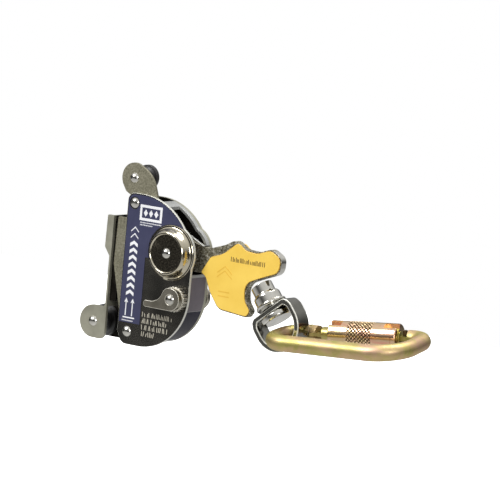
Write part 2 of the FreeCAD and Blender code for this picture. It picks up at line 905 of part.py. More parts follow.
def carabiner_frame():
    """Bent rod with a clevis for the gate's tang, and a slot in its nose for the blade."""
    half = ring_left_width / 2
    slot_half = tang_half + layer_gap
    clevis = box(
        hinge_u - clevis_reach,
        hinge_u + clevis_reach + 1,
        -slot_half,
        slot_half,
        half - rod_r - 1,
        half + rod_r + 1,
    )
    hinge_hole = cylinder(hinge_u, half, latch_pin_r, -rod_r, rod_r)
    nose_slot = box(nose_start - 1, blade_end + 0.6, -slot_half, slot_half, -20, 20)
    nose_slot = nose_slot.transformed(gate_axis())
    frame = ring_rod().cut([clevis, hinge_hole, nose_slot])
    put("carabiner_frame", frame.transformed(carabiner_placement()))


def carabiner_gate():
    eye_r = clevis_reach - 0.6
    eye = cylinder(0, 0, eye_r, -tang_half, tang_half)
    tang = box(0, gate_rod_start + 1, -tang_half, tang_half, -eye_r + 0.8, eye_r - 0.8)
    bar = along_gate(gate_rod_r, gate_rod_start, gate_rod_end)
    blade = box(gate_rod_end - 1, blade_end, -tang_half, tang_half, -2.6, 3.2)
    gate = eye.fuse([tang, bar, blade])
    spring_room = along_gate(gate_rod_r + 1, sleeve_start + 6, sleeve_start + 26)
    spring_room = spring_room.cut(along_gate(gate_rod_r - 1.3, 0, sleeve_end))
    holes = [
        cylinder(0, 0, latch_pin_r + pin_fit, -tang_half, tang_half),
        cylinder(latch_pin_at, 0.3, latch_pin_r, -rod_r, rod_r),
        spring_room,
    ]
    place = carabiner_placement().multiply(gate_axis())
    put("carabiner_gate", gate.removeSplitter().cut(holes).transformed(place))
    pin = cylinder(latch_pin_at, 0.3, latch_pin_r, -rod_r + 0.3, rod_r - 0.3)
    put("latch_pin", pin.transformed(place))
    rivet = cylinder(0, 0, latch_pin_r, -rod_r, rod_r)
    put("gate_hinge_rivet", rivet.transformed(place))
    lie = Placement(Vector(sleeve_start + 8, 0, 0), Rotation(Vector(0, 1, 0), 90)).toMatrix()
    helix = Part.makeHelix(1.3, 15.6, gate_rod_r - 0.65)
    section = Part.Wire(Part.makeCircle(0.5, Vector(gate_rod_r - 0.65, 0, 0), Vector(0, 1, 0)))
    wound = Part.Wire(helix).makePipeShell([section], True, True)
    put("sleeve_spring", wound.transformed(lie).transformed(place))


def lock_sleeve():
    """Twist-lock sleeve, with a narrow slot at each end."""
    bore_r = gate_rod_r + sleeve_play
    body = along_gate(sleeve_r, sleeve_start, sleeve_end)
    body = body.makeChamfer(0.9, body.Edges[:1] + body.Edges[2:3])
    slots = [
        box(sleeve_start - 1, sleeve_start + 7, -sleeve_r, -3.0, 2.0, 6.0),
        box(sleeve_end - 7, sleeve_end + 1, -sleeve_r, -3.0, 2.0, 6.0),
    ]
    bore = along_gate(bore_r, sleeve_start, sleeve_end)
    place = carabiner_placement().multiply(gate_axis())
    put("lock_sleeve", body.cut([bore] + slots).transformed(place))


# ================================================================ lock levers
def lever_shape(side, hub_t, top):
    """Teardrop lever on a round hub. side is -1 for the front and +1 for the rear."""
    face = rear_face + lever_play
    low, mid, high = (side * d for d in (face, face + hub_t, rear_face + top))
    head_r = lever_hub_r - 1.1
    tail = plate(
        [
            (lever_x - 21.6, lever_z - head_r, 2.2),
            (lever_x - 21.6, lever_z - 3.1, 2.1),
            (lever_x - 9.0, lever_z - 2.9, 10.0),
            (lever_x - 5.0, lever_z + head_r, 5.0),
            (lever_x + head_r, lever_z + head_r, head_r - 0.1),
            (lever_x + head_r, lever_z - head_r, head_r - 0.1),
        ],
        mid,
        high,
    )
    hub = cylinder(lever_x, lever_z, lever_hub_r, *sorted((low, mid)))
    bore = cylinder(lever_x, lever_z, lever_shaft_r, *sorted((low, high)))
    return tail.fuse(hub).removeSplitter().cut(bore)


def lever_flutes():
    """Grip flutes round the front lever's hub."""
    low = front_face - lever_play - lever_hub_t
    flutes = []
    for i in range(lever_rib_count):
        turn = 2 * math.pi * i / lever_rib_count
        x = lever_x + lever_hub_r * math.cos(turn)
        z = lever_z + lever_hub_r * math.sin(turn)
        flutes.append(cylinder(x, z, lever_rib_r, low, front_face))
    return flutes


def lock_levers():
    front = lever_shape(-1, lever_hub_t, lever_top)
    put("front_lock_lever", front.cut(lever_flutes()))
    put("rear_lock_lever", lever_shape(1, rear_lever_hub_t, rear_lever_top))
    front_end = front_face - lever_top
    rear_end = rear_face + rear_lever_top
    shaft = cylinder(lever_x, lever_z, lever_shaft_r, front_end, rear_end)
    heads = [
        domed_head(lever_x, lever_z, lever_rivet_r, lever_rivet_h, front_end, -1),
        domed_head(lever_x, lever_z, lever_rivet_r, lever_rivet_h, rear_end, 1),
    ]
    put("lever_shaft", shaft.fuse(heads))
    y0 = gate_rear + layer_gap
    dog = plate(
        [
            (lever_x - 21.0, lever_z - 5.5, 1.5),
            (lever_x - 21.0, lever_z + 0.5, 1.5),
            (lever_x - 6.0, lever_z + 5.4, 4.0),
            (lever_x + 5.2, lever_z + 5.4, 5.0),
            (lever_x + 5.2, lever_z - 5.4, 5.0),
        ],
        y0,
        y0 + 3.5,
    )
    bore = cylinder(lever_x, lever_z, lever_shaft_r, y0, y0 + 3.5)
    put("lock_dog", dog.cut(bore))
    wire_r = 0.5
    radius = lever_shaft_r + wire_r + 0.2
    wound = coil(lever_x, lever_z, radius, wire_r, 1.5, 4)
    knee = Vector(lever_x + radius, 1.5, lever_z)
    leg = wire_run([knee, knee + Vector(-1.0, 0, 5.0)], wire_r)
    put("lever_spring", wound.fuse(leg))


def inversion_pawl():
    """Weighted pawl that hangs inside the housing and falls across the dog when turned over."""
    y0 = casting_half - 3.0
    y1 = rear_inner - 1.0
    weight = plate(
        [
            (pawl_x - 3.4, pawl_z + 3.4, 3.3),
            (pawl_x + 3.4, pawl_z + 3.4, 3.3),
            (pawl_x + 5.5, pawl_z - pawl_len, 3.0),
            (pawl_x - 5.5, pawl_z - pawl_len, 3.0),
        ],
        y0,
        y1,
    )
    hole = cylinder(pawl_x, pawl_z, pawl_pin_r + pin_fit, y0, y1)
    put("inversion_pawl", weight.cut(hole))
    put("pawl_pin", cylinder(pawl_x, pawl_z, pawl_pin_r, y0 - 1.0, rear_face))


# ================================================================ the whole sleeve
def build():
    housing()
    cable_guide()
    shroud()
    wall_labels()
    front_plate()
    front_label()
    pivot_dome()
    main_pivot_pin()
    pivot_spacers()
    plate_rivet("stop_rivet", stop_x, stop_z)
    plate_rivet("gate_rivet", gate_pivot_x, gate_pivot_z)
    rollers()
    side_gate()
    gate_spring()
    handle_casting()
    handle_bush()
    grip_covers()
    brake_shoe()
    shoe_pin()
    handle_spring()
    swivel()
    bail()
    carabiner_frame()
    carabiner_gate()
    lock_sleeve()
    lock_levers()
    inversion_pawl()


build()
os.makedirs("parts", exist_ok=True)
for name, shape in parts.items():
    shape.exportStep(os.path.join("parts", name + ".step"))
print(len(parts), "sub-parts written")
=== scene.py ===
import json
import math
import random

import bmesh
import bpy
from mathutils import Matrix, Vector


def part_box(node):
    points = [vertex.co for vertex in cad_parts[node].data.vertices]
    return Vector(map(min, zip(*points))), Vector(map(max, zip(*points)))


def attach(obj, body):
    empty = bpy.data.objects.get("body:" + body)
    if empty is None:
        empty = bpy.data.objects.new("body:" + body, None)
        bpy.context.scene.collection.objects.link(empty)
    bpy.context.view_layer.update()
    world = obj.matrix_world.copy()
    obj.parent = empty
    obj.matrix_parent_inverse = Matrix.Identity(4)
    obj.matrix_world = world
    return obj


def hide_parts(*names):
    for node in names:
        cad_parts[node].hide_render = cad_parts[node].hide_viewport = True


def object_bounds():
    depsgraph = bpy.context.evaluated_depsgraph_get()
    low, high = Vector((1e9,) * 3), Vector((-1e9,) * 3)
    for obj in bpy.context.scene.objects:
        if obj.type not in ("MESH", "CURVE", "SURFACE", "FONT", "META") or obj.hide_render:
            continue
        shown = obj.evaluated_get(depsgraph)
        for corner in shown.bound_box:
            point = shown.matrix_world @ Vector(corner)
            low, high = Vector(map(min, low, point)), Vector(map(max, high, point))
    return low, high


# Looks for a detachable cable sleeve. Metres, in the CAD model's own frame: the origin is on the
# cable's axis, +Z is up, +X points to the handle, and the front plate faces -Y.

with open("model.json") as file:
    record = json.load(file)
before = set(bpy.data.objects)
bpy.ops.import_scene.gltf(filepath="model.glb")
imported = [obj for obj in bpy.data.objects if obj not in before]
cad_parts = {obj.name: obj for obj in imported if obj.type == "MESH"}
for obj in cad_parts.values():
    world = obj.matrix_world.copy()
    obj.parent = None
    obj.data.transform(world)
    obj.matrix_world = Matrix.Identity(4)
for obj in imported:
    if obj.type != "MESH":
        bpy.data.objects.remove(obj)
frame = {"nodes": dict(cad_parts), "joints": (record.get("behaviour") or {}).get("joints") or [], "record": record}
cad_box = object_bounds()
MM = 0.001
MERGE_MM = 0.002
FLAT_DEG = 0.4
CREASE_DEG = 32.0
SLEEVE_CREASE_DEG = 38.0
PRINT_MM = 0.03
JOINTS = {j["name"]: j for j in frame["joints"]}
PIVOT = Vector(JOINTS["handle_lift"]["pos_m"])
GATE_HINGE = Vector(JOINTS["sleeve_twist"]["pos_m"])
GATE_ALONG = Vector(JOINTS["sleeve_twist"]["axis"]).normalized()
GATE_UP = -Vector(JOINTS["carabiner_gate_swing"]["axis"]).normalized()
BODIES = frame["record"]["behaviour"]["bodies"]
BODY_OF = {node: body for body, nodes in BODIES.items() for node in nodes}
SLOT_OF = {s["node"]: s["material_slot"] for s in frame["record"]["subparts"]}
LOOKS = {}


# ---------------------------------------------------------------- node helpers
def linear(red, green, blue):
    """Linear colour from 0-255 display values."""
    values = []
    for value in (red, green, blue):
        c = value / 255
        values.append(c / 12.92 if c <= 0.04045 else ((c + 0.055) / 1.055) ** 2.4)
    return (*values, 1.0)


class Look:
    """A node material, kept in LOOKS by name, with short calls for the nodes it is made of."""

    def __init__(self, name, **constants):
        self.material = LOOKS[name] = bpy.data.materials.new(name)
        self.material.use_nodes = True
        self.nodes = self.material.node_tree.nodes
        self.links = self.material.node_tree.links
        self.shader = self.nodes["Principled BSDF"]
        for socket, value in constants.items():
            self.shader.inputs[socket.replace("_", " ")].default_value = value
        self.place = self.nodes.new("ShaderNodeTexCoord").outputs["Object"]

    def stretched(self, scale):
        mapping = self.nodes.new("ShaderNodeMapping")
        mapping.inputs["Scale"].default_value = scale
        self.links.new(self.place, mapping.inputs["Vector"])
        return mapping.outputs["Vector"]

    def noise(self, scale, detail=4.0, roughness=0.55, distortion=0.0, vector=None):
        node = self.nodes.new("ShaderNodeTexNoise")
        node.inputs["Scale"].default_value = scale
        node.inputs["Detail"].default_value = detail
        node.inputs["Roughness"].default_value = roughness
        node.inputs["Distortion"].default_value = distortion
        self.links.new(vector or self.place, node.inputs["Vector"])
        return node.outputs["Fac"]

    def ramp(self, factor, *stops):
        node = self.nodes.new("ShaderNodeValToRGB")
        stretch = node.color_ramp.elements
        while len(stretch) < len(stops):
            stretch.new(0.5)
        for element, (position, colour) in zip(stretch, stops):
            element.position = position
            element.color = colour
        self.links.new(factor, node.inputs["Fac"])
        return node.outputs["Color"]

    def spread(self, factor, low, high):
        """The middle of a noise, stretched to run from low to high."""
        node = self.nodes.new("ShaderNodeMapRange")
        values = {"From Min": 0.3, "From Max": 0.7, "To Min": low, "To Max": high}
        for socket, value in values.items():
            node.inputs[socket].default_value = value
        self.links.new(factor, node.inputs["Value"])
        return node.outputs["Result"]

    def multiplied(self, first, second):
        node = self.nodes.new("ShaderNodeMix")
        node.data_type = "RGBA"
        node.blend_type = "MULTIPLY"
        node.inputs["Factor"].default_value = 1.0
        # Inputs 6 and 7 and output 2 are the node's colour sockets.
        self.links.new(first, node.inputs[6])
        self.links.new(second, node.inputs[7])
        return node.outputs[2]

    def bump(self, height, depth_mm, under=None):
        node = self.nodes.new("ShaderNodeBump")
        node.inputs["Distance"].default_value = depth_mm * MM
        node.inputs["Strength"].default_value = 1.0
        self.links.new(height, node.inputs["Height"])
        if under is not None:
            self.links.new(under, node.inputs["Normal"])
        return node.outputs["Normal"]

    def wire(self, socket, output):
        self.links.new(output, self.shader.inputs[socket])


# ---------------------------------------------------------------- materials
def metal(
    name, dark, light, rough, patch=60.0, grain=1500.0, relief=0.01, stretch=None, metallic=1.0
):
    """Bare metal: slow patches of tone, fine grain in the gloss and a shallow relief."""
    look = Look(name, Metallic=metallic)
    patches = look.noise(patch, 6.0, 0.6)
    look.wire("Base Color", look.ramp(patches, (0.36, linear(*dark)), (0.64, linear(*light))))
    vector = look.stretched(stretch) if stretch else None
    fine = look.noise(grain, 3.0, 0.6, vector=vector)
    look.wire("Roughness", look.spread(fine, *rough))
    look.wire("Normal", look.bump(fine, relief))


def cast_metal(name, dark, mid, light, rough, speck, relief, metallic):
    """Blasted casting: two sizes of speckle over slow patches."""
    look = Look(name, Metallic=metallic)
    coarse = look.noise(speck, 5.0, 0.7)
    fine = look.noise(speck * 3.1, 3.0, 0.6)
    tone = look.ramp(coarse, (0.34, linear(*dark)), (0.5, linear(*mid)), (0.68, linear(*light)))
    slow = look.ramp(look.noise(70.0, 3.0), (0.3, (0.82, 0.82, 0.8, 1)), (0.7, (1, 1, 1, 1)))
    look.wire("Base Color", look.multiplied(tone, slow))
    look.wire("Roughness", look.spread(fine, *rough))
    look.wire("Normal", look.bump(coarse, relief, under=look.bump(fine, relief * 0.4)))


def zinc_gold(name, warm, green, pink, rough, grain):
    """Yellow zinc passivate: gold that drifts to olive and pink, in patches drawn out along X."""
    look = Look(name, Metallic=1.0)
    drift = look.noise(42.0, 4.0, 0.6, 1.2, look.stretched((0.7, 1.6, 1.6)))
    blush = look.noise(95.0, 3.0, 0.55, 0.6)
    gold = look.ramp(drift, (0.38, linear(*green)), (0.5, linear(*warm)), (0.66, linear(*pink)))
    tone = look.ramp(blush, (0.3, (0.84, 0.84, 0.8, 1)), (0.7, (1.0, 1.0, 1.0, 1)))
    look.wire("Base Color", look.multiplied(gold, tone))
    fine = look.noise(grain, 4.0, 0.65)
    look.wire("Roughness", look.spread(fine, *rough))
    look.wire("Normal", look.bump(fine, 0.004))


def moulded(name, dark, light, rough, peel=900.0, relief=0.02, **constants):
    """Moulded or printed surface: a slight drift of colour, and orange peel."""
    look = Look(name, **constants)
    drift = look.noise(50.0, 4.0)
    look.wire("Base Color", look.ramp(drift, (0.3, linear(*dark)), (0.7, linear(*light))))
    skin = look.noise(peel, 2.0, 0.5)
    look.wire("Roughness", look.spread(skin, *rough))
    look.wire("Normal", look.bump(skin, relief))


def make_materials():
    metal(
        "plate_steel", (62, 61, 57), (90, 88, 82), (0.2, 0.32), 45.0, 900.0, 0.006,
        (1, 1, 9), metallic=0.85,
    )
    # Painted highlight: pale steel on the bevels of the front plate and bail, standing in for edge glints.
    metal("plate_painted_highlight", (206, 206, 196), (228, 227, 218), (0.28, 0.38), metallic=0.4)
    metal("etched", (176, 170, 154), (196, 190, 174), (0.45, 0.6), metallic=0.3)
    metal(
        "sheet_steel", (154, 152, 136), (180, 178, 160), (0.34, 0.46), 50.0, 1400.0, 0.012,
        metallic=0.55,
    )
    metal(
        "wall_steel", (176, 177, 174), (200, 201, 198), (0.28, 0.4), 50.0, 800.0, 0.01,
        (1, 1, 6), metallic=0.75,
    )
    # Painted shade: near-black steel for inner faces, the cable guide and a slot floor, where shade falls.
    metal("inner_painted_shade", (30, 28, 25), (50, 47, 42), (0.45, 0.65), 80.0)
    cast_metal(
        "cast_steel", (116, 113, 96), (144, 140, 120), (170, 166, 146),
        (0.42, 0.6), 700.0, 0.03, 0.6
    )
    cast_metal(
        "rough_cast", (50, 46, 36), (140, 134, 112), (240, 236, 222),
        (0.34, 0.5), 900.0, 0.25, 0.75
    )
    metal("bright_steel", (196, 194, 186), (222, 220, 212), (0.05, 0.1), 90.0, 700.0, 0.003)
    metal("bail_steel", (112, 111, 105), (136, 135, 128), (0.08, 0.15), 90.0, 700.0, 0.003)
    metal(
        "lever_steel", (150, 145, 130), (180, 174, 160), (0.14, 0.22), 120.0, 900.0, 0.006,
        metallic=0.95,
    )
    # Painted highlight: pale steel on the lever bevels, standing in for edge glints.
    metal("lever_painted_highlight", (206, 202, 188), (224, 220, 208), (0.24, 0.34), metallic=0.55)
    metal("dome_steel", (190, 182, 160), (216, 209, 190), (0.1, 0.18), 60.0, 700.0, 0.003)
    cast_metal(
        "dome_disc", (44, 41, 36), (66, 62, 54), (120, 114, 100),
        (0.22, 0.36), 900.0, 0.012, 0.95
    )
    metal("spring_steel", (120, 120, 117), (160, 160, 156), (0.25, 0.4))
    moulded(
        "yellow_cover", (234, 194, 78), (243, 206, 92), (0.36, 0.48), 700.0, 0.03,
        Coat_Weight=0.25, Coat_Roughness=0.25,
    )
    # Painted shade: a deeper amber for the cover's rounded edges and embossed marks, in place of their shading.
    moulded(
        "amber_painted_shade", (222, 176, 58), (232, 188, 72), (0.36, 0.48), 700.0, 0.03,
        Coat_Weight=0.25, Coat_Roughness=0.25,
    )
    moulded("black_roller", (20, 19, 19), (34, 33, 33), (0.35, 0.5), 1100.0, 0.02)
    moulded("navy_label", (50, 52, 80), (60, 62, 90), (0.3, 0.4), 500.0, 0.002, Coat_Weight=0.3)
    moulded(
        "lower_label", (18, 17, 34), (30, 28, 46), (0.35, 0.45), 500.0, 0.002,
        Specular_IOR_Level=0.25
    )
    moulded(
        "grey_label", (92, 87, 92), (110, 103, 108), (0.3, 0.4), 500.0, 0.002,
        Specular_IOR_Level=0.4,
    )
    moulded("white_print", (225, 226, 228), (240, 240, 242), (0.3, 0.42))
    moulded("dark_print", (92, 70, 34), (112, 86, 42), (0.4, 0.55))
    zinc_gold("zinc_gold", (212, 188, 136), (194, 184, 112), (216, 180, 150), (0.42, 0.52), 900.0)
    zinc_gold(
        "sleeve_gold", (236, 202, 168), (226, 198, 152), (236, 176, 150), (0.14, 0.24), 1500.0
    )
    # Painted shade in the sleeve's knurl grooves; also the latch pin's own dark finish.
    metal("groove_shade_and_pin_dark", (58, 46, 24), (86, 68, 38), (0.4, 0.5), 90.0, 900.0, metallic=0.6)
    moulded("tab_yellow", (176, 160, 52), (200, 184, 74), (0.4, 0.5))
    zinc_gold("olive_gold", (188, 178, 108), (166, 164, 84), (202, 174, 130), (0.3, 0.4), 900.0)
    metal("bronze", (150, 112, 58), (176, 136, 76), (0.3, 0.45))


# ---------------------------------------------------------------- pieces
def settle(piece, body, material_slot, *materials):
    """Give a mesh object its finish and the body it moves with."""
    for material in materials:
        piece.data.materials.append(LOOKS[material])
    for polygon in piece.data.polygons:
        polygon.use_smooth = True
    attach(piece, body)


def add_bevel(piece, width_mm, edge_material, clamp):
    """Round the creases. edge_material is a slot's number, or -1 for the neighbouring material."""
    bevel = piece.modifiers.new("edges", "BEVEL")
    bevel.width = width_mm * MM
    bevel.segments = 3
    bevel.limit_method = "ANGLE"
    bevel.angle_limit = math.radians(CREASE_DEG)
    bevel.use_clamp_overlap = clamp
    bevel.material = edge_material
    normals = piece.modifiers.new("normals", "WEIGHTED_NORMAL")
    normals.keep_sharp = False


def new_object(name, bm):
    mesh = bpy.data.meshes.new(name)
    bm.normal_update()
    bm.to_mesh(mesh)
    bm.free()
    piece = bpy.data.objects.new(name, mesh)
    bpy.context.scene.collection.objects.link(piece)
    return piece


def refined(node, bevel_mm, *materials, edge_material=-1, rule=None, clamp=True):
    """A copy of a CAD node with rounded edges. rule picks each face's material by its place."""
    bm = bmesh.new()
    bm.from_mesh(frame["nodes"][node].data)
    bmesh.ops.remove_doubles(bm, verts=bm.verts, dist=MERGE_MM * MM)
    flat = math.radians(FLAT_DEG)
    bmesh.ops.dissolve_limit(bm, angle_limit=flat, verts=bm.verts, edges=bm.edges)
    for face in bm.faces:
        face.material_index = 0 if rule is None else rule(face.calc_center_median(), face.normal)
    piece = new_object(node + "_skin", bm)
    settle(piece, BODY_OF[node], SLOT_OF[node], *materials)
    if bevel_mm:
        add_bevel(piece, bevel_mm, edge_material, clamp)
    else:
        piece.data.set_sharp_from_angle(angle=math.radians(CREASE_DEG))
    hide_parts(node)


def prism(bm, outline, y_back, y_front):
    """Flat mark from (x, z) points, between two depths, added to a mesh."""
    back = [bm.verts.new((x, y_back, z)) for x, z in outline]
    front = [bm.verts.new((x, y_front, z)) for x, z in outline]
    bm.faces.new(front)
    bm.faces.new(list(reversed(back)))
    for i in range(len(outline)):
        j = (i + 1) % len(outline)
        bm.faces.new((front[j], front[i], back[i], back[j]))


def marks(name, outlines, depth, thickness_mm, body, material_slot, material):
    """Several flat marks as one piece, on a face at depth that looks to -Y.

    Outlines are in mm, with x from the main pivot and z from the frame's origin.
    """
    bm = bmesh.new()
    for outline in outlines:
        points = [(PIVOT.x + x * MM, z * MM) for x, z in outline]
        prism(bm, points, depth, depth - thickness_mm * MM)
    bmesh.ops.recalc_face_normals(bm, faces=bm.faces)
    piece = new_object(name, bm)
    settle(piece, body, material_slot, material)
    for polygon in piece.data.polygons:
        polygon.use_smooth = False


def rectangle(x, z, width, height):
    return [(x, z), (x + width, z), (x + width, z + height), (x, z + height)]


def diamond(x, z, width, height):
    middle_x, middle_z = x + width / 2, z + height / 2
    return [(middle_x, z), (x + width, middle_z), (middle_x, z + height), (x, middle_z)]


def chevron(x, z, width, height, thickness):
    """Chevron that points up, with its lower left corner at x, z."""
    middle = x + width / 2
    tip = z + height
    return [
        (x, z),
        (middle, tip - thickness),
        (x + width, z),
        (x + width, z + thickness),
        (middle, tip),
        (x, z + thickness),
    ]


# ---------------------------------------------------------------- plates and sheet metal
def make_plates():
    # The plate's side faces and bevels get the painted highlight colour.
    def rim(centre, normal):
        return 1 if abs(normal.y) < 0.5 else 0

    refined("front_plate", 0.7, "plate_steel", "plate_painted_highlight", edge_material=1, rule=rim)
    inner_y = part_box("shroud")[1].y
    wall_middle_z = -15 * MM

    # The housing's inner face behind the shroud gets painted shade.
    def housing_shaded_face(centre, normal):
        inside = normal.y < -0.7 and abs(centre.y - inner_y) < 0.4 * MM
        return 1 if inside else 0

    # The shroud wall's inward faces get painted shade.
    def wall_shaded_face(centre, normal):
        outward = Vector((centre.x - PIVOT.x, 0, centre.z - wall_middle_z))
        return 1 if normal.dot(outward) < -0.2 * outward.length else 0

    refined("housing", 0.3, "sheet_steel", "inner_painted_shade", rule=housing_shaded_face)
    refined("shroud", 0.25, "wall_steel", "inner_painted_shade", rule=wall_shaded_face)
    refined("side_gate", 0.35, "cast_steel")
    # The cable guide sits in the slot's shade and is painted dark throughout.
    refined("cable_guide", 0.2, "inner_painted_shade")
    refined("front_label", 0, "navy_label")
    refined("upper_wall_label", 0, "grey_label")
    refined("lower_wall_label", 0, "lower_label")


def make_label_marks():
    """Plain marks in place of the label's lettering: chevrons, arrows, a badge and tick rows."""
    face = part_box("front_label")[0].y
    shapes = []
    for i in range(8):
        shapes.append(chevron(-34.4, -33.6 + i * 4.75, 6.4, 4.3, 2.3))
    for i in range(2):
        shapes.append(chevron(-34.4, 5.2 + i * 4.4, 6.4, 3.9, 0.9))
    for x in (-33.6, -28.2):
        shapes.append(rectangle(x - 0.4, -47.2, 0.8, 9.6))
        shapes.append([(x - 1.6, -38.2), (x + 1.6, -38.2), (x, -35.2)])
    shapes.append(rectangle(-35.6, -48.9, 9.8, 0.9))
    finish = ("body", "navy_label", "white_print")
    marks("label_marks", shapes, face, PRINT_MM, *finish)

    dash_pitch, dash_width, dash_height = 1.05, 0.65, 0.75
    dashes = []
    for x, z, count in ((-36.0, -50.9, 9), (-27.4, 16.6, 17), (-27.4, 15.0, 10)):
        for i in range(count):
            dashes.append(rectangle(x + i * dash_pitch, z, dash_width, dash_height))
    marks("label_ticks", dashes, face, PRINT_MM, *finish)

    ink_mm = 0.02
    badge = [rectangle(-28.4, 18.4, 18.6, 10.6)]
    marks("label_badge", badge, face, PRINT_MM, *finish)
    panel = [rectangle(-26.6, 20.2, 15.0, 7.0)]
    panel_face = face - PRINT_MM * MM
    marks("label_badge_panel", panel, panel_face, ink_mm, "body", "navy_label", "navy_label")
    glyph = [diamond(-25.2 + i * 4.4, 21.2, 3.4, 5.0) for i in range(3)]
    marks("label_badge_glyph", glyph, panel_face - ink_mm * MM, ink_mm, *finish)


def make_etched_rows():
    """Rows of short slanted ticks etched below the lever, in place of lettering."""
    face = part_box("front_plate")[0].y
    rng = random.Random(5)
    ticks = []
    width = 0.6
    rows = ((-46.0, -19.6, 6.0), (-50.4, -19.4, 1.5), (-54.8, -19.2, 2.0), (-59.2, -19.0, -8.0))
    for z, start, end in rows:
        x = start
        while x < end:
            lean = rng.choice((0.5, -0.5, 0.0))
            height = rng.choice((3.3, 3.3, 2.3))
            top = z + height
            ticks.append([(x, z), (x + width, z), (x + width + lean, top), (x + lean, top)])
            x += rng.choice((1.3, 1.3, 2.2))
    marks("etched_ticks", ticks, face, 0.015, "body", "plate_steel", "etched")


# ---------------------------------------------------------------- dome, rivets, rollers, levers
def make_dome():
    disc_r = 12.3 * MM

    def dome_face(centre, normal):
        radius = math.hypot(centre.x - PIVOT.x, centre.z)
        return 1 if radius < disc_r and normal.y < -0.9 else 0

    refined("pivot_dome", 0, "dome_steel", "dome_disc", rule=dome_face)


def make_fixings():
    pins = ("main_pivot_pin", "stop_rivet", "gate_rivet", "upper_axle", "lower_axle", "lever_shaft")
    for node in pins:
        refined(node, 0.12, "bright_steel")
    refined("gate_hinge_rivet", 0.15, "olive_gold")
    # The latch pin takes this dark material as its own colour.
    refined("latch_pin", 0.15, "groove_shade_and_pin_dark")
    for node in ("upper_roller", "lower_roller"):
        refined(node, 0.3, "black_roller")


def make_levers():
    for node in ("front_lock_lever", "rear_lock_lever"):
        # The lever bevels get the painted highlight colour.
        refined(node, 0.35, "lever_steel", "lever_painted_highlight", edge_material=1, clamp=False)


# ---------------------------------------------------------------- handle
def make_handle():
    nose_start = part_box("front_grip_cover")[1].x - 6 * MM
    nose_low = -8 * MM

    def casting_face(centre, normal):
        on_nose = centre.x > nose_start and centre.z > nose_low
        return 1 if on_nose and abs(normal.y) < 0.5 else 0

    refined("handle_casting", 0.5, "rough_cast", "bright_steel", rule=casting_face)
    for node in ("front_grip_cover", "rear_grip_cover"):
        # The cover bevels get the painted shade amber.
        refined(node, 0.75, "yellow_cover", "amber_painted_shade", edge_material=1)
    make_cover_marks()


def make_cover_marks():
    """A tick row and two plain embossed shapes on the front grip cover."""
    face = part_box("front_grip_cover")[0].y
    rng = random.Random(11)
    ticks = []
    x, row_end = 44.0, 71.5
    row_z, width = 0.4, 0.6
    while x < row_end:
        height = rng.choice((3.2, 3.2, 2.3))
        ticks.append(rectangle(x, row_z, width, height))
        x += rng.choice((1.0, 1.0, 1.5))
    marks("cover_ticks", ticks, face, 0.02, "handle", "yellow_cover", "dark_print")
    # The embossed shapes are coloured with the painted shade amber.
    emboss = [
        chevron(34.0, -8.6, 12.0, 5.4, 0.8),
        chevron(34.0, -11.6, 12.0, 5.4, 0.8),
        rectangle(36.0, -21.0, 9.0, 0.8),
        rectangle(36.0, -24.0, 9.0, 0.8),
    ]
    marks("cover_emboss", emboss, face, 0.1, "handle", "yellow_cover", "amber_painted_shade")


def make_swivel():
    refined("swivel_barrel", 0.4, "bright_steel")
    refined("swivel_stud", 0.3, "bright_steel")
    refined("swivel_washer", 0.15, "bright_steel")
    # The bail's bevels carry the painted highlight colour.
    refined("bail", 0.7, "bail_steel", "plate_painted_highlight", edge_material=1, clamp=False)


# ---------------------------------------------------------------- carabiner
def gate_frame():
    """Matrix whose X runs along the carabiner's gate and whose Z is its upper side."""
    across = GATE_UP.cross(GATE_ALONG).normalized()
    turn = Matrix((GATE_ALONG, across, GATE_UP)).transposed()
    return Matrix.Translation(GATE_HINGE) @ turn.to_4x4()


def sleeve_span():
    """Start, end, outer radius and bore of the lock sleeve, from its CAD node."""
    to_local = gate_frame().inverted()
    points = [to_local @ v.co for v in frame["nodes"]["lock_sleeve"].data.vertices]
    along = [p.x for p in points]
    radii = [math.hypot(p.y, p.z) for p in points]
    return min(along) / MM, max(along) / MM, max(radii) / MM, min(radii) / MM


